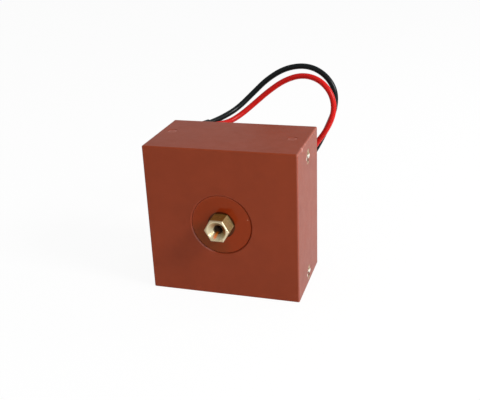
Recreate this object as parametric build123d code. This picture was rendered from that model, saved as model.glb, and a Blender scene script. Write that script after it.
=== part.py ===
from build123d import *
from math import atan2, cos, pi, radians, sin, sqrt, tan
import os

# Current transformer cast in resin, for a busbar or cable bolted to its fixed stud.
# Millimetres. X is the block's width, Y runs from front to rear, Z is up.
# The origin is the middle of the block's underside.

# Cast block, with two round scars left by the casting on its top face
block_width = 70.0
block_depth = 40.0
block_height = 70.0
block_edge = 0.6
scar_diameter = 4.6
scar_depth = 0.15
right_scar_inset = 7.0
right_scar_behind = 0.5
left_scar_inset = 5.6
left_scar_behind = 2.8

# Bore through the block, and the bush that fills it
bore_diameter = 28.0
bore_rim = 0.3
bush_clearance = 0.05
bush_recess = 0.2
bush_rim = 0.35
seat_diameter = 12.6
seat_depth = 0.9

# Primary stud, turned from hexagon bar and tapped at both ends
hex_across_flats = 10.0
hex_proud = 7.0
hex_end_break = 0.32
hex_heel_cut = 0.45
shank_diameter = 8.8
grip_count = 5
grip_pitch = 6.0
grip_width = 2.0
grip_depth = 0.4
stud_tap_diameter = 4.2
stud_thread_depth = 14.0
funnel_diameter = 8.6
drill_point_angle = 118.0

# Threaded inserts, two in each side face
insert_diameter = 7.0
insert_length = 8.0
insert_tap_diameter = 3.3
insert_thread_depth = 6.3
insert_mouth_diameter = 5.0
insert_top_inset = 7.7
insert_foot_inset = 5.3
insert_collar = 0.8
insert_waist_width = 1.6
insert_waist_depth = 0.6
knurl_teeth = 16
knurl_depth = 0.3

# Wound core, sealed in the resin between the bore and the outer faces
inner_cover = 2.2
wound_width = 12.8
wound_depth = 26.0
wrap_thickness = 0.4
wrap_edge = 1.6
layer_clearance = 0.05
wire_diameter = 1.2
turn_count = 60
case_wall = 1.0
core_gap = 0.8
lip_clearance = 0.1
lip_length = 2.0
strip_thickness = 0.3

# Splices between the winding's tails and the leads
ferrule_wall = 0.45
ferrule_length = 7.0
crimp_depth = 0.25
crimp_diameter = 2.4
bare_length = 1.0
tail_bend = 2.0
tail_run = 0.5

# Leads, and the sleeve round the pair where they leave the block
lead_diameter = 2.8
tip_diameter = 1.2
tip_length = 7.5
sleeve_clearance = 0.15
sleeve_wall = 0.35
sleeve_inside = 4.0
sleeve_overrun = 0.5
black_route = [
    (-25.1, 15.0, 65.5), (-25.1, 25.2, 65.5), (-21.5, 34.3, 64.5), (-17.2, 42.5, 65.5),
    (-12.7, 50.0, 68.5), (-6.5, 55.5, 74.7), (1.5, 58.5, 82.0), (11.0, 60.0, 87.5),
    (22.0, 60.0, 89.0), (31.0, 58.5, 85.3), (36.3, 56.5, 78.0), (37.1, 54.5, 69.0),
    (33.6, 53.0, 59.5), (28.0, 51.5, 48.0), (20.5, 50.5, 36.0), (11.5, 50.0, 24.5),
    (0.5, 50.5, 13.5), (-12.3, 51.5, 5.5), (-25.5, 53.0, 1.45), (-37.5, 53.5, 1.45),
]
red_route = [
    (-22.2, 15.0, 65.5), (-22.2, 24.7, 65.5), (-18.8, 33.0, 64.1), (-14.6, 40.5, 63.4),
    (-10.0, 46.7, 65.6), (-4.0, 51.0, 70.5), (3.5, 53.5, 77.0), (11.5, 54.5, 82.5),
    (20.5, 54.0, 85.5), (29.2, 52.5, 84.0), (35.7, 50.5, 78.2), (38.0, 48.5, 70.0),
    (35.6, 46.7, 60.9), (28.9, 45.0, 50.6), (21.0, 44.0, 39.5), (12.3, 43.5, 28.0),
    (2.0, 43.5, 17.0), (-10.5, 44.0, 8.0), (-25.0, 45.5, 1.45), (-38.5, 46.5, 1.45),
]

# Sizes that follow from the driving ones
bore_height = block_height / 2
wound_inner = bore_diameter / 2 + inner_cover
wound_outer = wound_inner + wound_width
wound_half = wound_depth / 2
wound_middle = (wound_inner + wound_outer) / 2
turn_top = wrap_thickness + layer_clearance
turn_base = turn_top + wire_diameter
varnish_top = turn_top + wire_diameter / 2
case_top = turn_base + layer_clearance
case_half = wound_half - case_top
channel_inner = wound_inner + case_top + case_wall
channel_outer = wound_outer - case_top - case_wall
bush_half = block_depth / 2 - bush_recess
stud_half = block_depth / 2 + hex_proud
seat_floor = bush_half - seat_depth
ferrule_diameter = wire_diameter + 2 * ferrule_wall
insert_heights = {
    "upper": block_height - insert_top_inset,
    "lower": insert_foot_inset,
}

# Axis of the bore: its local Z points out of the front face, its local Y points up
bore_axis = Pos(0, 0, bore_height) * Rot(90, 0, 0)


def turned(points):
    """A solid turned about Z from its outline in radius and height."""
    return revolve(Plane.XZ * make_face(Polyline(*points, close=True)), Axis.Z)


def ring(inner, outer, low, high):
    """A plain ring about Z between two radii and two heights."""
    return turned([(inner, low), (outer, low), (outer, high), (inner, high)])


def drilled(drill, depth, mouth):
    """The space of a drilled hole that goes down from the origin, with a wide mouth."""
    point = drill / 2 / tan(radians(drill_point_angle / 2))
    funnel = (mouth - drill) / 2
    outline = [(0, 0), (mouth / 2, 0), (drill / 2, -funnel), (drill / 2, -depth)]
    return turned(outline + [(0, -depth - point)])


def wound_section(depth):
    """Section of the wound core at a depth below its outer skin, with bevelled corners."""
    section = Rectangle(wound_width - 2 * depth, 2 * (wound_half - depth))
    bevelled = chamfer(section.vertices(), wrap_edge - (2 - sqrt(2)) * depth)
    return Plane.XZ * Pos(wound_middle, 0) * bevelled


def wound_body(depth):
    """The whole wound core below that depth, as a solid ring."""
    return revolve(wound_section(depth), Axis.Z)


def make_stud():
    """One brass bar, hexagonal at each end with a grooved shank between, whole and tapped."""
    corner_radius = hex_across_flats / 2 / cos(pi / 6)
    heel_radius = corner_radius - hex_heel_cut
    heel = hex_heel_cut * tan(radians(30))
    outline = [(0, stud_half), (corner_radius, stud_half), (corner_radius, seat_floor + heel),
               (heel_radius, seat_floor), (shank_diameter / 2, seat_floor)]
    outline += [(radius, -height) for radius, height in reversed(outline)]
    hexagon = RegularPolygon(hex_across_flats / 2, 6, major_radius=False)
    bar = extrude(hexagon, stud_half, both=True)
    ends = bar.edges().filter_by(Plane.XY)
    bar = chamfer(ends, hex_end_break) & turned(outline)
    shank = shank_diameter / 2
    for place in range(grip_count):
        middle = (place - (grip_count - 1) / 2) * grip_pitch
        low = middle - grip_width / 2
        bar -= ring(shank - grip_depth, shank + grip_depth, low, low + grip_width)
    hole = Pos(0, 0, stud_half) * drilled(stud_tap_diameter, stud_thread_depth, funnel_diameter)
    return bar, bar - hole - Rot(180, 0, 0) * hole


def make_bush(bar):
    """The bush cast round the stud, with a round seat pocket and a bevelled rim each end."""
    radius = bore_diameter / 2 - bush_clearance
    outline = [(0, bush_half), (radius - bush_rim, bush_half), (radius, bush_half - bush_rim)]
    outline += [(r, -height) for r, height in reversed(outline)]
    seat = ring(0, seat_diameter / 2, seat_floor, stud_half)
    return turned(outline) - seat - Rot(180, 0, 0) * seat - bar


def knurled(low, high):
    """A band of straight knurling between two heights."""
    radius = insert_diameter / 2
    rim = []
    for step in range(2 * knurl_teeth):
        reach = radius - knurl_depth * (step % 2)
        angle = pi * step / knurl_teeth
        rim.append((reach * cos(angle), reach * sin(angle)))
    return Pos(0, 0, low) * extrude(make_face(Polyline(*rim, close=True)), high - low)


def make_insert():
    """A brass insert along Z, its mouth at the origin: collars, two knurls and a waist."""
    radius = insert_diameter / 2
    waist_top = (insert_waist_width - insert_length) / 2
    waist_foot = waist_top - insert_waist_width
    body = ring(0, radius, -insert_collar, 0)
    body += knurled(waist_top, -insert_collar)
    body += ring(0, radius - insert_waist_depth, waist_foot, waist_top)
    body += knurled(insert_collar - insert_length, waist_foot)
    body += ring(0, radius, -insert_length, insert_collar - insert_length)
    return body - drilled(insert_tap_diameter, insert_thread_depth, insert_mouth_diameter)


def insert_places():
    """Where each insert's mouth lies, with its axis pointing out of the side face."""
    places = {}
    for side, sign in (("right", 1), ("left", -1)):
        for level, height in insert_heights.items():
            face = Plane((sign * block_width / 2, 0, height), z_dir=(sign, 0, 0))
            places[f"insert_{side}_{level}"] = face
    return places


def strip_outline(radius):
    """Outline of a wound strip: two half turns of a spiral and the step at the strip's end."""
    inside = radius - strip_thickness
    first = CenterArc((strip_thickness / 2, 0), radius - strip_thickness / 2, 0, 180)
    second = CenterArc((0, 0), inside, 180, 180)
    return make_face(first + second + Line((inside, 0), (radius, 0)))


def make_core():
    """The magnetic strip wound up into a ring, standing on the floor of its case."""
    outline = strip_outline(channel_outer - core_gap)
    outline -= strip_outline(channel_inner + core_gap + strip_thickness)
    floor = case_wall - case_half
    return Pos(0, 0, floor) * extrude(outline, 2 * (case_half - case_wall) - core_gap)


def make_case():
    """The moulded ring trough round the core, and the lid with two lips that closes it."""
    whole = wound_body(case_top)
    seam = case_half - case_wall
    above = ring(0, wound_outer, seam, wound_half)
    cup = whole - ring(channel_inner, channel_outer, -seam, seam) - above
    lip = core_gap - 2 * lip_clearance
    lips = [ring(channel_outer - lip_clearance - lip, channel_outer - lip_clearance,
                 seam - lip_length, seam),
            ring(channel_inner + lip_clearance, channel_inner + lip_clearance + lip,
                 seam - lip_length, seam)]
    return cup, (whole & above) + lips


def make_tail(route):
    """A winding end: out of the ring along its radius, then back along the lead's line."""
    across, behind, height = route[0]
    end = behind - bare_length - ferrule_length / 2
    corner = behind - bare_length - ferrule_length - tail_run - tail_bend
    angle = atan2(height - bore_height, across)
    reach = wound_outer - (varnish_top + turn_base) / 2
    foot = (reach * cos(angle), corner, bore_height + reach * sin(angle))
    path = FilletPolyline((across, end, height), (across, corner, height), foot,
                          radius=tail_bend)
    return sweep(Plane(path @ 0, z_dir=path % 0) * Circle(wire_diameter / 2), path=path)


def make_winding(tails):
    """One wire: turns laid side by side round the case in varnish, and its two tails."""
    hollow = wound_body(turn_base)
    varnish = wound_body(varnish_top)
    loop = wound_section(turn_top) - wound_section(turn_base)
    turn = extrude(loop, wire_diameter / 2, both=True)
    turns = [Rot(0, 0, 360 * place / turn_count) * turn for place in range(turn_count)]
    return bore_axis * (varnish + turns - hollow) + tails


def make_wrap(tails):
    """The tape over the winding, with an opening for each tail."""
    return bore_axis * (wound_body(0) - wound_body(wrap_thickness)) - tails


def make_ferrule(route):
    """A crimped ferrule in line with its lead, with two dents pressed in its top."""
    across, behind, height = route[0]
    radius = ferrule_diameter / 2
    end = Plane((across, behind - bare_length, height), z_dir=(0, -1, 0))
    tube = ring(wire_diameter / 2, radius, 0, ferrule_length)
    for share in (0.25, 0.75):
        dent = Rot(90, 0, 0) * Cylinder(crimp_diameter / 2, 2 * ferrule_diameter)
        reach = radius + crimp_diameter / 2 - crimp_depth
        tube -= Pos(0, 0, share * ferrule_length) * Rot(0, 0, 90) * Pos(reach, 0, 0) * dent
    return end * tube


def corner_radii(route):
    """The largest arc that each corner's two runs allow."""
    points = [Vector(*point) for point in route]
    radii = []
    for before, corner, after in zip(points, points[1:], points[2:]):
        turn = (corner - before).get_angle(after - corner)
        shorter = min((corner - before).length, (after - corner).length)
        radii.append(0.45 * shorter / tan(radians(turn / 2)))
    return radii


def make_lead(name, route):
    """An insulated lead along its route, its stripped root and its stripped far tip."""
    radii = corner_radii(route)
    path = FilletPolyline(*route, radius=radii)
    section = Plane(path @ 0, z_dir=path % 0) * Circle(lead_diameter / 2)
    tube = sweep(section, path=path)
    expected = pi * lead_diameter ** 2 / 4 * path.length
    print(name, "length", round(path.length, 1), "volume", round(tube.volume / expected, 5),
          "radii", [round(radius, 1) for radius in radii])
    across, behind, height = route[0]
    root_length = bare_length + ferrule_length / 2
    root = Plane((across, behind, height), z_dir=(0, -1, 0))
    tube += root * ring(0, wire_diameter / 2, 0, root_length)
    tip = Plane(path @ 1, z_dir=path % 1) * ring(0, tip_diameter / 2, 0, tip_length)
    return tube, tip


def sleeve_path():
    """The line midway between the leads, from inside the resin to the end of their bend."""
    start, corner, after = [(Vector(*black) + Vector(*red)) / 2
                            for black, red in list(zip(black_route, red_route))[:3]]
    radius = (corner_radii(black_route)[0] + corner_radii(red_route)[0]) / 2
    half_turn = radians((corner - start).get_angle(after - corner) / 2)
    past = (after - corner).normalized() * (radius * tan(half_turn) + sleeve_overrun)
    inside = Vector(start.X, block_depth / 2 - sleeve_inside, start.Z)
    return FilletPolyline(inside, corner, corner + past, radius=radius)


def sleeve_solid(margin):
    """The oval round both leads, a margin outside them, along the sleeve's path."""
    path = sleeve_path()
    pitch = abs(red_route[0][0] - black_route[0][0])
    height = lead_diameter + 2 * margin
    start = Plane(path @ 0, x_dir=(1, 0, 0), z_dir=path % 0)
    return sweep(start * SlotOverall(pitch + height, height), path=path)


def make_block(cast_in):
    """The resin block, cast round what it holds: bore, insert pockets and top scars."""
    block = Pos(0, 0, bore_height) * Box(block_width, block_depth, block_height)
    block = fillet(block.edges(), block_edge)
    radius = bore_diameter / 2
    half = block_depth / 2
    rim = radius + bore_rim
    outline = [(0, half), (rim, half), (radius, half - bore_rim)]
    outline += [(r, -height) for r, height in reversed(outline)]
    block -= bore_axis * turned(outline)
    for face in insert_places().values():
        block -= face * ring(0, insert_diameter / 2, -insert_length, 0)
    scar = ring(0, scar_diameter / 2, -scar_depth, 0)
    block -= Pos(block_width / 2 - right_scar_inset, right_scar_behind, block_height) * scar
    block -= Pos(left_scar_inset - block_width / 2, left_scar_behind, block_height) * scar
    return block - cast_in


def make_parts():
    """Every piece of the transformer, by the name of its node."""
    parts = {}
    bar, stud = make_stud()
    parts["primary_stud"] = bore_axis * stud
    parts["centre_bush"] = bore_axis * make_bush(bar)
    insert = make_insert()
    for name, face in insert_places().items():
        parts[name] = face * insert
    tails = [make_tail(black_route), make_tail(red_route)]
    parts["ring_core"] = bore_axis * make_core()
    cup, lid = make_case()
    parts["core_case"] = bore_axis * cup
    parts["core_case_lid"] = bore_axis * lid
    parts["secondary_winding"] = make_winding(tails)
    parts["winding_wrap"] = make_wrap(tails)
    for colour, route in (("black", black_route), ("red", red_route)):
        parts[f"{colour}_splice"] = make_ferrule(route)
        lead, tip = make_lead(colour, route)
        parts[f"{colour}_lead"] = lead
        parts[f"{colour}_lead_tip"] = tip
    outside = sleeve_solid(sleeve_clearance + sleeve_wall)
    parts["lead_sleeve"] = outside - sleeve_solid(sleeve_clearance)
    cast_in = [bore_axis * wound_body(0), outside]
    cast_in += tails
    cast_in += [parts[name] for name in ("black_splice", "red_splice", "black_lead", "red_lead")]
    parts["resin_block"] = make_block(cast_in)
    return parts


os.makedirs("parts", exist_ok=True)
for name, solid in make_parts().items():
    export_step(solid, f"parts/{name}.step")
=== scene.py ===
import math

import bpy
import numpy as np
from mathutils import Matrix, Vector


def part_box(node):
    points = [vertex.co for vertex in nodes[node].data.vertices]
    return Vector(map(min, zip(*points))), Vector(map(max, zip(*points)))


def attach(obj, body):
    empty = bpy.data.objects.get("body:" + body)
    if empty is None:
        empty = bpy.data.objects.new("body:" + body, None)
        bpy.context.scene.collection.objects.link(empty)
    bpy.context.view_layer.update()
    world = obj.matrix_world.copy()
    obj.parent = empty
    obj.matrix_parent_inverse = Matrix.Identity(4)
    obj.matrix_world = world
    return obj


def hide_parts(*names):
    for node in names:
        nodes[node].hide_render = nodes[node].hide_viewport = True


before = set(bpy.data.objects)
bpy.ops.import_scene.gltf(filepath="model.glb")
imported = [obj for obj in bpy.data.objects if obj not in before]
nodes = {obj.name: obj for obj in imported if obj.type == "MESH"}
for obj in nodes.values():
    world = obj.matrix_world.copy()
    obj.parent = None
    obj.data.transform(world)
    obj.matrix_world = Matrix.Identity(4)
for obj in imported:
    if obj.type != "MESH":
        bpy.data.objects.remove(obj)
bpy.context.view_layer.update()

# Current transformer cast in resin. Metres, in the part's own frame: X is the block's
# width, Y runs from front to rear, Z is up, and the block stands on Z = 0.
MM = 0.001

# The camera, as solved from the block's corners in the photograph
camera_place = (100.43 * MM, -301.93 * MM, 171.39 * MM)
camera_azimuth = 17.927
camera_elevation = 22.639
camera_roll = -2.629
camera_lens = 55.76


def make_camera():
    """The photograph's camera, from its place, its bearing and its roll."""
    data = bpy.data.cameras.new("camera")
    data.lens = camera_lens
    data.sensor_width = 36
    data.clip_start = 0.01
    data.clip_end = 20
    camera = bpy.data.objects.new("camera", data)
    bpy.context.scene.collection.objects.link(camera)
    turn = Matrix.Rotation(math.radians(camera_azimuth), 4, "Z")
    tilt = Matrix.Rotation(math.radians(90 - camera_elevation), 4, "X")
    roll = Matrix.Rotation(math.radians(camera_roll), 4, "Z")
    camera.matrix_world = Matrix.Translation(camera_place) @ turn @ tilt @ roll
    bpy.context.scene.camera = camera


make_camera()

# The leads' routes in millimetres, from inside the resin over the arch to the floor
black_route = [
    (-25.1, 15.0, 65.5), (-25.1, 25.2, 65.5), (-21.5, 34.3, 64.9), (-17.2, 42.5, 65.9),
    (-12.3, 50.0, 68.3), (-6.1, 55.5, 74.4), (1.5, 58.5, 81.9), (11.0, 60.0, 87.5),
    (22.0, 60.0, 89.0), (31.0, 58.5, 85.3), (36.8, 56.5, 78.0), (37.2, 54.5, 69.0),
    (33.6, 53.0, 59.5), (28.0, 51.5, 48.0), (20.5, 50.5, 36.0), (11.5, 50.0, 24.5),
    (0.5, 50.5, 13.5), (-12.3, 51.5, 5.5), (-25.5, 53.0, 1.45), (-37.5, 53.5, 1.45),
]
red_route = [
    (-22.2, 15.0, 65.5), (-22.2, 24.7, 65.5), (-18.8, 33.0, 64.3), (-14.6, 40.5, 63.4),
    (-10.0, 46.7, 65.6), (-4.0, 51.0, 70.5), (3.5, 53.5, 77.0), (11.5, 54.5, 82.5),
    (20.5, 54.0, 85.5), (29.2, 52.5, 84.0), (35.7, 50.5, 78.2), (38.0, 48.5, 70.0),
    (35.1, 46.7, 61.0), (28.0, 45.0, 51.2), (20.7, 44.0, 39.7), (12.3, 43.5, 28.0),
    (2.0, 43.5, 17.0), (-10.5, 44.0, 8.0), (-25.0, 45.5, 1.45), (-38.5, 46.5, 1.45),
]
lead_diameter = 2.8 * MM
block_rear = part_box("resin_block")[1].y


class Wire:
    """A socket in a material's nodes. Arithmetic with it adds the Math nodes."""

    def __init__(self, paint, socket):
        self.paint = paint
        self.socket = socket

    def _math(self, operation, *values):
        return self.paint.node("ShaderNodeMath", {"operation": operation}, *values)

    def __add__(self, other):
        return self._math("ADD", self, other)

    def __radd__(self, other):
        return self._math("ADD", other, self)

    def __sub__(self, other):
        return self._math("SUBTRACT", self, other)

    def __rsub__(self, other):
        return self._math("SUBTRACT", other, self)

    def __mul__(self, other):
        return self._math("MULTIPLY", self, other)

    def __rmul__(self, other):
        return self._math("MULTIPLY", other, self)

    def __truediv__(self, other):
        return self._math("DIVIDE", self, other)

    def __rtruediv__(self, other):
        return self._math("DIVIDE", other, self)

    def __abs__(self):
        return self._math("ABSOLUTE", self)

    def apply(self, operation, *values):
        """Any other Math operation, with this value first."""
        return self._math(operation, self, *values)


class Paint:
    """The nodes of one material. Its numbers that are the same all over are set at once."""

    def __init__(self, name, **constants):
        self.material = bpy.data.materials.new(name)
        self.material.use_nodes = True
        self.tree = self.material.node_tree
        self.shader = self.tree.nodes["Principled BSDF"]
        for label, value in constants.items():
            self.feed(self.shader.inputs[label.replace("_", " ")], value)

    def node(self, kind, settings=None, *values, out=0, **named):
        """Adds a node: its settings first, then its sockets by order or by name.

        It gives back the output of that number or name.
        """
        made = self.tree.nodes.new(kind)
        for key, value in (settings or {}).items():
            setattr(made, key, value)
        for key, value in [*enumerate(values), *named.items()]:
            self.feed(made.inputs[key], value)
        return Wire(self, made.outputs[out])

    def feed(self, socket, value):
        """Links a wire to a socket, or sets the socket to a number, a place or a colour."""
        if isinstance(value, Wire):
            self.tree.links.new(value.socket, socket)
        elif socket.type == "RGBA":
            socket.default_value = (*value, 1)
        else:
            socket.default_value = value

    def link(self, label, wire):
        """Feeds one of the shader's sockets that may change over the surface."""
        self.tree.links.new(wire.socket, self.shader.inputs[label])

    def place(self):
        """The point of the surface, in metres in the part's frame."""
        return self.node("ShaderNodeTexCoord", out="Object")

    def axes(self, vector):
        """The three parts of a vector."""
        split = self.node("ShaderNodeSeparateXYZ", None, vector)
        return [Wire(self, socket) for socket in split.socket.node.outputs]

    def noise(self, vector, scale, detail=3.0, roughness=0.5):
        """Soft noise about one half, with its grain as the scale's inverse in metres."""
        return self.node("ShaderNodeTexNoise", {"noise_dimensions": "3D"}, Vector=vector,
                         Scale=scale, Detail=detail, Roughness=roughness)

    def blend(self, share, first, second):
        """A colour between two others. A Mix node has its colours in sockets 6 and 7."""
        made = self.node("ShaderNodeMix", {"data_type": "RGBA"}, share, out=2)
        sockets = made.socket.node.inputs
        self.feed(sockets[6], first)
        self.feed(sockets[7], second)
        return made

    def clamp(self, wire, low, high):
        """Zero at low and one at high, straight between them and level beyond."""
        return self.node("ShaderNodeMapRange", {"clamp": True}, wire, low, high, 0.0, 1.0)

    def bump(self, height, strength, distance):
        """A normal from a height field of that depth in metres."""
        made = self.node("ShaderNodeBump", None, Strength=strength, Distance=distance,
                         Height=height)
        self.link("Normal", made)


def surface(name, rows, poles=None):
    """A mesh over a grid of points [row, column, xyz] whose columns close on themselves.

    Neighbouring rows are joined by quads. Two poles close the first and the last row, each
    on one point, and without them the last row joins the first.
    """
    count, around, _ = rows.shape
    points = rows.reshape(-1, 3)
    columns = np.arange(around)
    ahead = (columns + 1) % around
    joined = count if poles is None else count - 1
    start = np.arange(joined)[:, None] * around
    after = (start + around) % len(points)
    quads = np.stack([start + columns, start + ahead, after + ahead, after + columns], -1)
    faces = quads.reshape(-1, 4).tolist()
    if poles is not None:
        pole = np.full(around, len(points))
        base = len(points) - around
        faces += np.stack([pole, ahead, columns], -1).tolist()
        faces += np.stack([pole + 1, base + columns, base + ahead], -1).tolist()
        points = np.vstack([points, poles])
    mesh = bpy.data.meshes.new(name)
    mesh.from_pydata(points.tolist(), [], faces)
    mesh.validate()
    piece = bpy.data.objects.new(name, mesh)
    bpy.context.scene.collection.objects.link(piece)
    return piece


def smooth(piece, angle):
    """Shades a piece smooth, but keeps its edges sharper than that angle."""
    mesh = piece.data
    mesh.shade_smooth()
    mesh.set_sharp_from_angle(angle=math.radians(angle))
    return piece


def cord_curve(name, route):
    """A lead as one NURBS spline on its route, with the lead's thickness."""
    data = bpy.data.curves.new(name, "CURVE")
    data.dimensions = "3D"
    spline = data.splines.new("NURBS")
    spline.points.add(len(route) - 1)
    for point, place in zip(spline.points, route):
        point.co = (*[value * MM for value in place], 1)
        point.radius = lead_diameter / 2
    spline.order_u = 3
    spline.use_endpoint_u = True
    data.resolution_u = 16
    piece = bpy.data.objects.new(name, data)
    bpy.context.scene.collection.objects.link(piece)
    return piece


def spline_points(piece):
    """The points of a cord's spline, read before it has its thickness."""
    bpy.context.view_layer.update()
    graph = bpy.context.evaluated_depsgraph_get()
    mesh = bpy.data.meshes.new_from_object(piece.evaluated_get(graph))
    points = np.array([vertex.co for vertex in mesh.vertices])
    bpy.data.meshes.remove(mesh)
    return points


def thicken(piece):
    """Gives a cord's curve its round section: a unit circle times its points' radius."""
    piece.data.bevel_depth = 1
    piece.data.bevel_resolution = 8
    piece.data.use_fill_caps = True


black_cord = cord_curve("black_cord", black_route)
red_cord = cord_curve("red_cord", red_route)
black_line = spline_points(black_cord)
red_line = spline_points(red_cord)
thicken(black_cord)
thicken(red_cord)


def arc_length(points):
    """The length along a line of points, from its start to each of them."""
    steps = np.linalg.norm(np.diff(points, axis=0), axis=1)
    return np.concatenate([[0], np.cumsum(steps)])


def resample(points, lengths):
    """Points at given lengths along a line."""
    along = arc_length(points)
    return np.stack([np.interp(lengths, along, points[:, axis]) for axis in range(3)], 1)


def unit(vectors):
    """Vectors of length one."""
    return vectors / np.linalg.norm(vectors, axis=-1, keepdims=True)


def make_sleeve():
    """The oval sleeve round both leads, from inside the resin to the end of their bend.

    Its middle line is midway between the leads. With l = tanh(5 cos t) its outline at an
    angle t lies at (pitch / 2) l + r cos t across and r sin t (1 - pinch (1 - |l|)) up, so it
    is a round half over each lead with a span between that is pinched a little.
    """
    clearance, wall, lip = 0.15 * MM, 0.35 * MM, 0.12 * MM
    buried, length = 4 * MM, 17 * MM
    inner_bend = 0.93
    reach = np.linspace(0, length, 41)

    def beside(line, share):
        """The stretch of a lead's line that the sleeve covers, as a share of its length."""
        begin = np.interp(block_rear - buried, line[:, 1], arc_length(line))
        return resample(line, begin + reach * share)

    black, red = beside(black_line, 1), beside(red_line, inner_bend)
    middle = (black + red) / 2
    across = unit(red - black)
    along = unit(np.gradient(middle, axis=0))
    up = unit(np.cross(across, along))
    pitch = np.linalg.norm(red - black, axis=1)
    angle = np.linspace(0, 2 * math.pi, 64, endpoint=False)
    lean = np.tanh(5 * np.cos(angle))

    def shell(radius, pinch):
        """One wall of the sleeve, by the formula above."""
        wide = pitch[:, None] / 2 * lean + radius * np.cos(angle)
        tall = radius * np.sin(angle) * (1 - pinch * (1 - np.abs(lean)))
        return (middle[:, None] + wide[..., None] * across[:, None]
                + tall[..., None] * up[:, None])

    outer = shell(lead_diameter / 2 + clearance + wall, pinch=0.12)
    inner = shell(lead_diameter / 2 + clearance, pinch=0.05)
    back = lip * along[-1]
    rim = [outer[-1] * (1 - share) + inner[-1] * share for share in (0.25, 0.75)]
    loop = np.concatenate([outer[:-1], [outer[-1] - back, *rim, inner[-1] - back],
                           inner[-2::-1]])
    return smooth(surface("sleeve_tube", loop[:, ::-1]), 50)


sleeve = make_sleeve()


def make_strands(name, line):
    """A stripped lead end: strands laid in a helix round one core, under thin tin.

    A strand's middle lies at lay (cos(a + 2 pi s / pitch), sin(...)) round the axis at the
    length s, and its skin at the strand's radius round that middle.
    """
    lay, strand, pitch, length = 0.39 * MM, 0.205 * MM, 11 * MM, 7.4 * MM
    end_share, bulge = 0.55, 0.05 * MM
    around_core = 6
    root = line[-1]
    axis = unit(line[-1] - line[-2])
    side = unit(np.cross(axis, [0, 0, 1]))
    top = np.cross(side, axis)
    s = np.linspace(0, length, 40)
    radius = np.full(len(s), strand)
    radius[-1] *= end_share
    around = np.linspace(0, 2 * math.pi, 12, endpoint=False)
    ring = np.cos(around)[:, None] * side + np.sin(around)[:, None] * top
    pieces = []
    for number in range(around_core + 1):
        offset = lay if number < around_core else 0
        turn = 2 * math.pi * (number / around_core + s / pitch)
        spoke = np.cos(turn)[:, None] * side + np.sin(turn)[:, None] * top
        middle = root + s[:, None] * axis + offset * spoke
        skin = middle[:, None] + radius[:, None, None] * ring
        poles = [middle[0], middle[-1] + bulge * axis]
        pieces.append(surface(f"{name}_{number}", skin[:, ::-1], poles))
    return smooth(join(pieces, name), 60)


def join(pieces, name):
    """Several meshes made one piece."""
    bpy.ops.object.select_all(action="DESELECT")
    for piece in pieces:
        piece.select_set(True)
    bpy.context.view_layer.objects.active = pieces[0]
    bpy.ops.object.join()
    pieces[0].name = name
    pieces[0].data.name = name
    return pieces[0]


black_strands = make_strands("black_strands", black_line)
red_strands = make_strands("red_strands", red_line)
for cord, strands, node in ((black_cord, black_strands, "black"), (red_cord, red_strands, "red")):
    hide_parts(f"{node}_lead")
    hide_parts(f"{node}_lead_tip")
    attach(cord, "root")
    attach(strands, "root")
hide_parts("lead_sleeve")
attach(sleeve, "root")


# The stud, its bush and the inserts: what their boxes give, and sizes that no box shows
stud_low, stud_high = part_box("primary_stud")
stud_half = (stud_high.y - stud_low.y) / 2
stud_height = (stud_high.z + stud_low.z) / 2
across_flats = stud_high.z - stud_low.z
bush_low, bush_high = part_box("centre_bush")
bush_radius = (bush_high.x - bush_low.x) / 2
seat_depth, seat_radius = 0.9 * MM, 6.3 * MM
seat_floor = (bush_high.y - bush_low.y) / 2 - seat_depth
stud_flat = across_flats / 2
stud_drill, stud_funnel = 2.1 * MM, 4.3 * MM
stud_cone = stud_funnel - stud_drill
insert_drill, insert_mouth = 1.65 * MM, 2.5 * MM


def turned_profile(points, step):
    """A profile of radius and height with every straight run cut to steps of that length."""
    filled = [points[0]]
    for first, last in zip(points, points[1:]):
        count = max(1, int(math.ceil(math.dist(first, last) / step)))
        for place in range(1, count + 1):
            share = place / count
            filled.append(tuple(a + (b - a) * share for a, b in zip(first, last)))
    return np.array(filled)


def thread_depth(turns, depth):
    """Depth of a vee thread: a triangle wave of one wave for each turn, with flat tops."""
    wave = np.abs(2 * (turns - np.floor(turns)) - 1)
    return depth * np.clip(1.25 * wave - 0.15, 0, 1)


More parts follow.
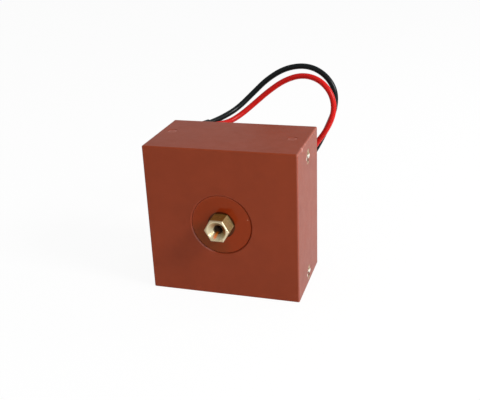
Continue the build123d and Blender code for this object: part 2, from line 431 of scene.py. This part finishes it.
def make_stud():
    """The hexagon bar with both tapped holes.

    One profile runs from the bottom of the front hole out over its mouth, along the hexagon
    and the round shank to the bottom of the rear hole. At an angle t its radius is the
    profile's, held inside the hexagon's flat / cos(t - nearest flat). In the holes a vee
    thread is added, as a wave of height / pitch - t / (2 pi) turns.
    """
    corner = stud_flat / math.cos(math.pi / 6)
    deep, drill_point = 14 * MM, 1.26 * MM
    pitch, crest = 0.8 * MM, 0.32 * MM
    bevel, heel, shank = 0.32 * MM, 0.45 * MM, 4.4 * MM
    tip, lip = 0.05 * MM, 0.04 * MM
    end = stud_half
    bore = [(tip, end - deep - drill_point), (stud_drill, end - deep)]
    bore += [(stud_drill, end - stud_cone), (stud_funnel - lip, end - lip)]
    bore += [(stud_funnel + tip, end)]
    skin = [(corner, end), (corner, end - bevel)]
    skin += [(corner, seat_floor + heel * math.tan(math.radians(30)))]
    skin += [(corner - heel, seat_floor), (shank, seat_floor)]
    bore = turned_profile(bore, 0.09 * MM)
    skin = turned_profile(skin, 0.6 * MM)
    radius, height = np.concatenate([bore, skin]).T
    inside = np.arange(len(radius)) < len(bore)
    radius = np.concatenate([radius, radius[::-1]])[:, None]
    height = np.concatenate([height, -height[::-1]])[:, None]
    inside = np.concatenate([inside, inside[::-1]])[:, None]
    angle = np.linspace(0, 2 * math.pi, 144, endpoint=False)
    nearest = (angle % (math.pi / 3)) - math.pi / 6
    from_end = end - np.abs(height)
    limit = stud_flat / np.cos(nearest) - np.clip(bevel - from_end, 0, bevel)
    r = np.where(inside, radius, np.minimum(radius, limit))
    turns = height / pitch - angle / (2 * math.pi)
    start = np.clip((from_end - stud_cone - pitch) / (3 * pitch), 0, 1)
    cut = stud_drill + thread_depth(turns, crest) * start
    r = np.where(inside & (from_end < deep), np.maximum(r, cut), r)
    y = np.broadcast_to(-height, r.shape)
    rows = np.stack([r * np.cos(angle), y, stud_height + r * np.sin(angle)], -1)
    poles = [(0, y[0, 0], stud_height), (0, y[-1, 0], stud_height)]
    return smooth(surface("stud_bar", rows[:, ::-1], poles), 28)


stud = make_stud()
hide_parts("primary_stud")
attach(stud, "root")


def make_insert(node):
    """A knurled insert, turned from one profile about its own axis.

    Its radius is the profile's, less the knurl's wave |sin(teeth t / 2)| on the two bands,
    and its bore has a vee thread like the stud's.
    """
    low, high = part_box(node)
    centre = (low + high) / 2
    outward = 1 if centre.x > 0 else -1
    radius, length = (high.z - low.z) / 2, high.x - low.x
    cone = insert_mouth - insert_drill
    deep, drill_point = 6.3 * MM, 0.95 * MM
    pitch, crest = 0.7 * MM, 0.32 * MM
    teeth, knurl, collar = 16, 0.3 * MM, 0.8 * MM
    waist_depth, waist_half = 0.6 * MM, 0.8 * MM
    edge, tip, lip, lip_width = 0.12 * MM, 0.05 * MM, 0.02 * MM, 0.08 * MM
    bore = [(tip, -deep - drill_point), (insert_drill, -deep), (insert_drill, -cone)]
    bore += [(insert_mouth, -lip), (insert_mouth + lip_width, 0)]
    skin = [(radius - edge, 0), (radius, -edge), (radius, -length + edge)]
    skin += [(radius - edge, -length), (tip, -length)]
    bore = turned_profile(bore, 0.12 * MM)
    skin = turned_profile(skin, 0.25 * MM)
    profile = np.concatenate([bore, skin])
    inside = (np.arange(len(profile)) < len(bore))[:, None]
    depth = -profile[:, 1:]
    angle = np.linspace(0, 2 * math.pi, 96, endpoint=False)
    r = np.broadcast_to(profile[:, :1], (len(profile), len(angle)))
    cut = insert_drill + thread_depth(-depth / pitch - angle / (2 * math.pi), crest)
    r = np.where(inside & (depth < deep), np.maximum(r, cut), r)
    band = ~inside & (depth > collar) & (depth < length - collar)
    waist = np.abs(depth - length / 2) < waist_half
    r = np.where(band & ~waist, r - knurl * np.abs(np.sin(teeth / 2 * angle)), r)
    r = np.where(band & waist, radius - waist_depth, r)
    x = np.broadcast_to(centre.x + outward * (length / 2 - depth), r.shape)
    y = centre.y + outward * r * np.cos(angle)
    z = centre.z + r * np.sin(angle)
    poles = [(x[row, 0], centre.y, centre.z) for row in (0, -1)]
    rows = np.stack([x, y, z], -1)
    return smooth(surface(node.replace("insert", "bushing"), rows[:, ::-1], poles), 35)


inserts = []
for side in ("right", "left"):
    for level in ("upper", "lower"):
        node = f"insert_{side}_{level}"
        insert = make_insert(node)
        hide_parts(node)
        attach(insert, "root")
        inserts.append(insert)


def resin(name, colour, deep, grain, roughness, **constants):
    """Cast resin: a mottled colour with fine grain and slow waves. Its colour isn't linked yet."""
    paint = Paint(name, **constants)
    place = paint.place()
    mottle = paint.noise(place, 45.0, 4.0, 0.6)
    cloud = paint.noise(place, 220.0, 3.0, 0.55)
    share = paint.clamp(mottle * 0.7 + cloud * 0.3, 0.36, 0.64)
    fine = paint.noise(place, 2600.0, 2.0, 0.6)
    wave = paint.noise(place, 90.0, 2.0, 0.5)
    paint.link("Roughness", roughness + (cloud - 0.5) * 0.3 * roughness)
    paint.bump(fine * 0.35 * grain + wave * 1.6, 0.6, 0.12 * MM)
    return paint, place, paint.blend(share, colour, deep)


def hypotenuse(first, second):
    """The root of the sum of two squares."""
    return (first * first + second * second).apply("SQRT")


def round_the_bore(paint, x, up):
    """Distance from the bore's axis, and how far a place lies to its upper left."""
    radius = hypotenuse(x, up)
    return radius, paint.clamp((x * -0.6 + up * 0.8) / radius, -0.1, 0.7)


def near_joint(paint, radius):
    """One at the joint between the block and the bush, falling to zero on both sides."""
    return paint.clamp(abs(radius - bush_radius), 0.75 * MM, 0.25 * MM)


def spot(paint, place, centre, radius, soft):
    """One inside a ball round a point in millimetres, falling to zero over a soft margin."""
    away = paint.node("ShaderNodeVectorMath", {"operation": "DISTANCE"}, place,
                      [value * MM for value in centre], out="Value")
    return paint.clamp(away, (radius + soft) * MM, radius * MM)


def block_resin():
    """The block's resin, paler on its right edges as wear and painted highlight, with painted light
    and shade round the joint, pale chips, and paler rings in the scars.
    """
    paint, place, body = resin("cast_resin", (0.246, 0.0390, 0.0122), (0.220, 0.0347, 0.0105),
                               1.0, 0.35, IOR=1.22)
    warm, dark, rubbed_and_lit, chalk_and_highlight = ((0.36, 0.060, 0.022), (0.150, 0.018, 0.004),
                                  (0.34, 0.105, 0.075), (0.52, 0.215, 0.175))
    large_chip, small_chip = (35, -11.5, 69.3), (35, -5.5, 69.7)
    right_scar, left_scar = (28, 0.5, 70), (-29.4, 2.8, 70)
    x, y, z = paint.axes(place)
    up = z - stud_height
    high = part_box("resin_block")[1]
    chatter = paint.noise(place, 1100.0, 3.0, 0.65)

    # Paler along the right edges and weakly along the others: wear, and a painted highlight where
    # the light falls on them.
    band = 1.0 * MM
    near_right = paint.clamp(x, high.x - band, high.x)
    near_face = paint.clamp(abs(y), high.y - band, high.y)
    near_end = paint.clamp(abs(up), stud_height - band, stud_height)
    wear_and_highlight = near_right * (near_face + near_end) + near_face * near_end * 0.2
    wear_and_highlight = paint.clamp(wear_and_highlight * (0.5 + chatter), 0.10, 0.90)

    radius, upper_left = round_the_bore(paint, x, up)
    lower_left = paint.clamp((x * -0.75 + up * -0.66) / radius, 0.80, 0.98)
    outer = paint.clamp(abs(y), high.y - 0.5 * MM, high.y - 0.4 * MM)
    rim = near_joint(paint, radius) * outer
    # Round the joint, a painted highlight on the lower left and a little painted light on the upper
    # left; then pale chips, and paler rings in the scars.
    pale = rim * (lower_left * chatter * 1.1 + upper_left * 0.06)
    pale = pale + spot(paint, place, large_chip, 0.7, 0.7)
    pale = pale + spot(paint, place, small_chip, 0.3, 0.7) * 0.6
    for centre in (right_scar, left_scar):
        scar = spot(paint, place, centre, 1.3, 0.9)
        pale = pale + scar * (1.05 - scar) * 3.6 * chatter

    # Round the joint, painted light: warmer at the upper left, and darker elsewhere as painted
    # shade.
    body = paint.blend(rim * upper_left * 0.25, body, warm)
    body = paint.blend(rim * (1 - upper_left) * 0.35, body, dark)
    body = paint.blend(wear_and_highlight, body, rubbed_and_lit)
    share = paint.clamp(pale, 0.0, 1.0)
    paint.link("Base Color", paint.blend(share * 0.8, body, chalk_and_highlight))
    return paint.material


def bush_resin():
    """The bush's resin: smoother and more saturated, with a painted shadow of the stud at the lower
    left in front, painted light and shade round the joint, painted shade in the stud's seat, and
    specks of dust.
    """
    paint, place, body = resin("bush_resin", (0.246, 0.0262, 0.0056), (0.222, 0.0234, 0.0048),
                               0.1, 0.07, IOR=1.32, Specular_Tint=(1.0, 0.72, 0.40))
    warm, dark, seat_shade = (0.40, 0.060, 0.020), (0.130, 0.014, 0.003), (0.140, 0.026, 0.008)
    shadow_brown, dusty_and_lit = (0.150, 0.0262, 0.0062), (0.62, 0.28, 0.20)
    right_speck, left_speck = (12.2, -20, 38.4), (-13.7, -20, 32.2)
    x, y, z = paint.axes(place)
    up = z - stud_height
    radius, upper_left = round_the_bore(paint, x, up)
    rim = near_joint(paint, radius)
    # The stud's seat groove is painted dark as shade.
    groove = paint.clamp(radius, seat_radius + 0.15 * MM, seat_radius - 0.1 * MM)
    # A painted shadow of the stud, browner and darker, at the lower left in front.
    painted_shadow = paint.clamp((x * -0.60 - up * 0.80) / radius, 0.45, 0.95)
    painted_shadow = painted_shadow * paint.clamp(y, 0.0, -0.1 * MM)
    # Real dust specks, and a little painted light on the joint's upper left.
    dust_and_highlight = rim * upper_left * 0.08 + spot(paint, place, right_speck, 0.12, 0.28)
    dust_and_highlight = dust_and_highlight + spot(paint, place, left_speck, 0.15, 0.35) * 0.5
    # Round the joint, painted light: warmer at the upper left, and darker elsewhere as painted
    # shade.
    body = paint.blend(rim * upper_left * 0.25, body, warm)
    body = paint.blend(rim * (1 - upper_left) * 0.4, body, dark)
    body = paint.blend(groove, body, seat_shade)
    body = paint.blend(painted_shadow * 0.9, body, shadow_brown)
    paint.link("Base Color", paint.blend(dust_and_highlight, body, dusty_and_lit))
    return paint.material


def stud_brass():
    """Turned hexagon bar: satin in the countersink and dull flats, with painted light: dark holes
    and a darker lower countersink as painted shade, paler flats and rim on the right as painted
    highlight, and an orange streak of painted reflection.
    """
    paint = Paint("stud_brass")
    place = paint.place()
    x, y, z = paint.axes(place)
    up = z - stud_height
    radius, upper_left = round_the_bore(paint, x, up)
    depth = stud_half - abs(y)
    patch = paint.noise(place, 700.0, 4.0, 0.6)
    share = paint.clamp(patch, 0.38, 0.66)

    flats = paint.clamp(radius, stud_flat - 0.25 * MM, stud_flat - 0.1 * MM)
    flats = flats * paint.clamp(depth, 0.2 * MM, 0.4 * MM)
    # The flats and the rim on the right are paler as painted highlight.
    right = paint.clamp(x, 2.7 * MM, 3.0 * MM)
    rim = paint.clamp(radius, stud_funnel + 0.15 * MM, stud_funnel + 0.3 * MM)
    rim = rim * paint.clamp(depth, 0.40 * MM, 0.30 * MM)
    # The tapped hole is browner and its depths darker, as painted shade.
    within = paint.clamp(radius, stud_drill + 0.7 * MM, stud_drill + 0.5 * MM)
    within = within * paint.clamp(depth, stud_cone - 0.1 * MM, stud_cone + 0.1 * MM)
    hole = within * paint.clamp(depth, 3.0 * MM, 4.6 * MM)
    # Painted shade: the lower part of the countersink is darker.
    shade = paint.clamp(radius, 4.0 * MM, 2.2 * MM) * paint.clamp(x * 0.3 - up, 0.0, 1.6 * MM)

    # The streak is a painted reflection in orange; it runs down to the left out of the front hole,
    # along this direction
    run_x, run_up, shift = -0.385, -0.923, 0.19 * MM
    along = x * run_x + up * run_up
    across = x * -run_up + up * run_x - shift
    streak = paint.clamp(abs(across), 1.0 * MM, 0.2 * MM) * paint.clamp(y, 0.0, -0.1 * MM)
    streak = streak * paint.clamp(along, 1.2 * MM, 1.8 * MM) * paint.clamp(along, 4.2 * MM, 3.5 * MM)
    streak = streak * paint.clamp(depth, 5.0 * MM, 4.0 * MM)
    tinting = paint.blend(paint.clamp(radius, 2.6 * MM, 3.6 * MM), (0.80, 0.20, 0.010),
                       (0.90, 0.20, 0.06))

    # Painted light in the countersink: paler at the upper left, browner in the tapped hole and
    # darker below as painted shade.
    bright = paint.blend(share, (0.71, 0.61, 0.39), (0.56, 0.46, 0.28))
    bright = paint.blend(upper_left * 0.3, bright, (0.74, 0.68, 0.50))
    bright = paint.blend(within * 0.5, bright, (0.62, 0.45, 0.26))
    bright = paint.blend(shade * 0.8, bright, (0.17, 0.13, 0.08))
    # Lit and shaded copies of the flats: the right ones paler as painted highlight, the others
    # darker and browner; the rim is paler on the right the same way.
    painted_dark_flat = paint.blend(share, (0.28, 0.135, 0.027), (0.195, 0.082, 0.015))
    painted_lit_flat = paint.blend(share, (0.48, 0.36, 0.17), (0.35, 0.24, 0.095))
    edge = paint.blend(right, (0.50, 0.385, 0.24), (0.70, 0.58, 0.40))
    colour = paint.blend(flats, bright, paint.blend(right, painted_dark_flat, painted_lit_flat))
    # The holes are darkened as painted shade.
    colour = paint.blend(hole, colour, (0.15, 0.095, 0.065))
    # The orange streak of painted reflection.
    colour = paint.blend(streak, colour, tinting)
    paint.link("Base Color", paint.blend(rim, colour, edge))

    dull = within * (1 - hole) * 0.35
    paint.link("Metallic", 1 - flats * 0.2 - streak * 0.6 - dull)
    rough = 0.25 + flats * 0.3 + upper_left * 0.15 + within * 0.2
    paint.link("Roughness", rough + (patch - 0.5) * 0.25)
    mark_pitch = 0.16 * MM
    turning_marks = (radius * (2 * math.pi / mark_pitch)).apply("SINE")
    fine = paint.noise(place, 5200.0, 2.0, 0.6)
    paint.bump(turning_marks * 0.3 + fine, 0.35, 0.012 * MM)
    return paint.material


def insert_brass():
    """Insert brass: a dull face tinted by the resin, and a countersink with a painted glint, a
    painted highlight across the face and spots of painted shade.

    One pattern serves the upper and the lower inserts. Its height is measured from their
    common middle, then from the axis of the insert above or below it.
    """
    paint = Paint("insert_brass")
    place = paint.place()
    x, y, z = paint.axes(place)
    upper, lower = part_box("insert_right_upper"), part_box("insert_right_lower")
    height = z - (upper[1].z + lower[0].z) / 2
    up = height - height.apply("SIGN") * ((upper[0].z - lower[0].z) / 2)
    radius = hypotenuse(y, up)
    patch = paint.noise(place, 800.0, 4.0, 0.6)
    face = paint.clamp(radius, insert_mouth - 0.05 * MM, insert_mouth + 0.15 * MM)
    cone = 1 - face
    bright = paint.blend(paint.clamp(patch, 0.38, 0.66), (0.58, 0.47, 0.30), (0.36, 0.26, 0.15))
    dull = paint.blend(paint.clamp(patch, 0.30, 0.70), (0.52, 0.36, 0.24), (0.36, 0.22, 0.13))
    tinting = face * paint.clamp(abs(up), 2.9 * MM, 2.2 * MM)

    # Painted light: a slanting glint in the mouth and one across the face as painted highlights, a
    # foot painted dim under a highlight, and a spot of painted shade
    slant_y, slant_up, glint_middle = 0.667, -0.745, 1.87 * MM
    shade_spot_y, shade_spot_up = 1.1 * MM, -1.6 * MM
    away = abs(y * slant_y + up * slant_up - glint_middle)
    glint = paint.clamp(away, 0.75 * MM, 0.35 * MM) * cone
    face_glint = face * paint.clamp(abs(up + 0.25 * MM), 0.9 * MM, 0.4 * MM)
    low = paint.clamp(up, -1.2 * MM, -1.8 * MM) * cone
    painted_shade_spot = paint.clamp(hypotenuse(y - shade_spot_y, up - shade_spot_up), 1.0 * MM, 0.7 * MM)

    colour = paint.blend(tinting, paint.blend(face, bright, dull), (0.36, 0.13, 0.090))
    colour = paint.blend(glint, colour, (1.0, 0.96, 0.86))
    colour = paint.blend(low, colour, (0.34, 0.25, 0.16))
    colour = paint.blend(face_glint * 0.8, colour, (1.0, 0.95, 0.84))
    paint.link("Base Color", paint.blend(painted_shade_spot * 0.95, colour, (0.13, 0.035, 0.020)))
    paint.link("Metallic", 1 - face * 0.3 - painted_shade_spot * 0.6)
    paint.link("Roughness", 0.26 + face * 0.3 + low * 0.25 + (patch - 0.5) * 0.25)
    paint.bump(paint.noise(place, 5200.0, 2.0, 0.6), 0.4, 0.012 * MM)
    return paint.material


def insulation(name, colour, roughness):
    """Extruded lead cover: a smooth gloss with a slight waviness along it."""
    paint = Paint(name, IOR=1.25)
    place = paint.place()
    wave = paint.noise(place, 160.0, 3.0, 0.5)
    share = paint.clamp(wave, 0.3, 0.7)
    dim = tuple(value * 0.82 for value in colour)
    paint.link("Base Color", paint.blend(share, colour, dim))
    paint.link("Roughness", roughness + (wave - 0.5) * 0.12)
    paint.bump(wave + paint.noise(place, 1900.0, 2.0, 0.5) * 0.04, 0.25, 0.04 * MM)
    return paint.material


def tinned(name):
    """Solder-dipped copper: bright and slightly lumpy, with warm patches."""
    paint = Paint(name, Metallic=1.0)
    place = paint.place()
    lump = paint.noise(place, 1500.0, 3.0, 0.6)
    share = paint.clamp(lump, 0.45, 0.75)
    paint.link("Base Color", paint.blend(share, (0.66, 0.65, 0.62), (0.50, 0.42, 0.34)))
    paint.link("Roughness", 0.28 + (lump - 0.5) * 0.3)
    paint.bump(lump, 0.5, 0.03 * MM)
    return paint.material


def core_strip():
    """Edges of the wound magnetic strip: fine bright rings with blued patches."""
    paint = Paint("core_strip", Metallic=1.0)
    place = paint.place()
    x, y, z = paint.axes(place)
    strip_pitch = 0.3 * MM
    layer = (hypotenuse(x, z - stud_height) * (2 * math.pi / strip_pitch)).apply("SINE")
    tone = paint.noise(place, 260.0, 3.0, 0.6)
    share = paint.clamp(layer * 0.25 + tone, 0.2, 0.9)
    paint.link("Base Color", paint.blend(share, (0.20, 0.21, 0.25), (0.46, 0.46, 0.48)))
    paint.link("Roughness", 0.36 + (tone - 0.5) * 0.2)
    paint.bump(layer, 0.5, 0.03 * MM)
    return paint.material


def case_plastic():
    """Moulded core case: pale filled plastic with a fine satin grain."""
    paint = Paint("case_plastic", IOR=1.5)
    place = paint.place()
    tone = paint.noise(place, 320.0, 3.0, 0.6)
    share = paint.clamp(tone, 0.3, 0.7)
    paint.link("Base Color", paint.blend(share, (0.60, 0.57, 0.50), (0.50, 0.47, 0.41)))
    paint.link("Roughness", 0.5 + (tone - 0.5) * 0.15)
    paint.bump(paint.noise(place, 3000.0, 2.0, 0.5), 0.4, 0.02 * MM)
    return paint.material


def winding_wire():
    """Enamelled copper in varnish: a deep amber gloss, darker in the hollows."""
    paint = Paint("winding_wire", IOR=1.5, Coat_Weight=0.6, Coat_Roughness=0.15)
    place = paint.place()
    tone = paint.noise(place, 420.0, 3.0, 0.6)
    share = paint.clamp(tone, 0.35, 0.7)
    paint.link("Base Color", paint.blend(share, (0.42, 0.12, 0.025), (0.25, 0.055, 0.012)))
    paint.link("Roughness", 0.3 + (tone - 0.5) * 0.2)
    paint.bump(tone, 0.4, 0.04 * MM)
    return paint.material


def wrap_tape():
    """Film tape laid round the winding: overlapping bands that fan out from the bore."""
    paint = Paint("wrap_tape", IOR=1.5)
    place = paint.place()
    x, y, z = paint.axes(place)
    laps, slant = 40, 60.0
    angle = (z - stud_height).apply("ARCTAN2", x)
    lap = (angle * (laps / (2 * math.pi)) + y * slant).apply("FRACT")
    edge = paint.clamp(lap, 0.0, 0.12)
    tone = paint.noise(place, 200.0, 3.0, 0.6)
    share = paint.clamp(edge * 0.6 + tone * 0.4, 0.2, 0.9)
    paint.link("Base Color", paint.blend(share, (0.42, 0.29, 0.06), (0.66, 0.50, 0.15)))
    paint.link("Roughness", 0.32 + (tone - 0.5) * 0.2)
    paint.bump(lap, 0.5, 0.06 * MM)
    return paint.material


stud_finish = stud_brass()
insert_finish = insert_brass()
tin = tinned("tinned_copper")
black_cover = insulation("black_insulation", (0.0045, 0.0070, 0.0075), 0.28)
red_cover = insulation("red_insulation", (0.56, 0.0085, 0.0060), 0.28)
sleeve_cover = insulation("sleeve_plastic", (0.012, 0.014, 0.015), 0.5)
plain_case = case_plastic()


def dress(piece, material):
    """Gives a piece one material."""
    piece.data.materials.clear()
    piece.data.materials.append(material)


dress(black_cord, black_cover)
dress(red_cord, red_cover)
dress(sleeve, sleeve_cover)
dress(black_strands, tin)
dress(red_strands, tin)
dress(stud, stud_finish)
for insert in inserts:
    dress(insert, insert_finish)
node_materials = {
    "resin_block": block_resin(), "centre_bush": bush_resin(), "ring_core": core_strip(),
    "core_case": plain_case, "core_case_lid": plain_case, "secondary_winding": winding_wire(),
    "winding_wrap": wrap_tape(), "black_splice": tin, "red_splice": tin,
}
for name, material in node_materials.items():
    for slot in nodes[name].material_slots:
        slot.material = material


class Sky(Paint):
    """The nodes of the world."""

    def __init__(self, name):
        world = bpy.data.worlds.new(name)
        world.use_nodes = True
        bpy.context.scene.world = world
        self.tree = world.node_tree
        self.shader = self.tree.nodes["Background"]


def rays(paint):
    """Whether a ray comes from the camera, from a gloss or through something clear."""
    kinds = paint.node("ShaderNodeLightPath").socket.node.outputs
    labels = ("Is Camera Ray", "Is Glossy Ray", "Is Transmission Ray")
    return [Wire(paint, kinds[label]) for label in labels]


def floor_material():
    """A pale floor that takes shadows. The camera and glosses see it as nearly white."""
    paint = Paint("floor", Roughness=0.9, Base_Color=(0.95, 0.95, 0.95))
    camera, gloss, clear = rays(paint)
    white = paint.node("ShaderNodeEmission", None, (1, 1, 1), 1.0)
    seen = camera * 0.93 + gloss * 0.9 + clear * 0.9
    mixed = paint.node("ShaderNodeMixShader", None, seen, Wire(paint, paint.shader.outputs[0]),
                       white)
    paint.tree.links.new(mixed.socket, paint.tree.nodes["Material Output"].inputs["Surface"])
    return paint.material


def make_stage():
    """A pale floor and a white world that is softer in its light and in glosses."""
    bpy.ops.mesh.primitive_plane_add(size=6, location=(0, 0, 0))
    floor = bpy.context.object
    floor.name = "floor"
    dress(floor, floor_material())
    sky = Sky("world")
    sky.feed(sky.shader.inputs["Color"], (1, 1, 1))
    camera, gloss, clear = rays(sky)
    sky.link("Strength", 0.48 + camera * 0.52 + clear * 0.52 + gloss * 0.12)


def lamp(name, place, aim, size, power):
    """A soft square lamp that points at a spot."""
    data = bpy.data.lights.new(name, "AREA")
    data.size = size
    data.energy = power
    light = bpy.data.objects.new(name, data)
    bpy.context.scene.collection.objects.link(light)
    light.location = place
    facing = Vector(aim) - Vector(place)
    light.rotation_euler = facing.to_track_quat("-Z", "Y").to_euler()


make_stage()
block_middle, lead_arch = (0, 0, 0.035), (0, 0, 0.05)
lamp("key_lamp", (0.752, -0.188, 0.598), block_middle, 0.25, 7.7)
lamp("window_lamp", (0.83, 0.48, 0.66), lead_arch, 0.12, 1.1)
lamp("front_lamp", (0.76, -0.62, 0.30), block_middle, 0.40, 0.9)
lamp("glint_lamp", (0.80, -0.53, 0.35), block_middle, 0.04, 0.18)
bpy.context.scene.view_settings.view_transform = "Standard"

bpy.context.view_layer.update()
